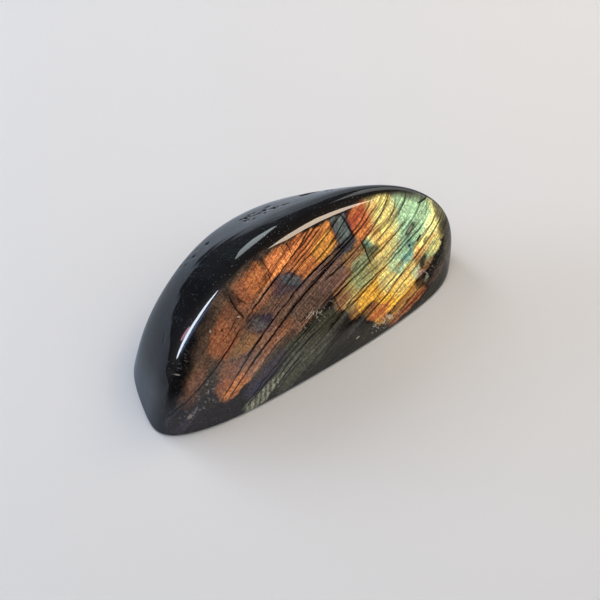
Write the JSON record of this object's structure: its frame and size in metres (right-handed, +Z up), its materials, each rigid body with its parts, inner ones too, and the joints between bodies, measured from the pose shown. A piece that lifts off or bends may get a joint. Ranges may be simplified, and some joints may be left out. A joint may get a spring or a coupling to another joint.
{
  "type": "polished labradorite stone",
  "caption": "Palm-sized polished labradorite freeform: a low rounded ridge with a leaning colour face, standing on a flat ground base.",
  "frame": {"origin": "on the flat base, under the middle of the stone's bounding box", "axes": "+X along the long axis towards the narrow end, -Y out of the leaning colour face, +Z up"},
  "size_m": [0.0824, 0.0368, 0.0276],
  "materials": {
    "labradorite": "mirror-polished dark feldspar with fixed orange, yellow, green and blue colour zones"
  },
  "bodies": {
    "root": {"stone": "labradorite"}
  },
  "joints": []
}
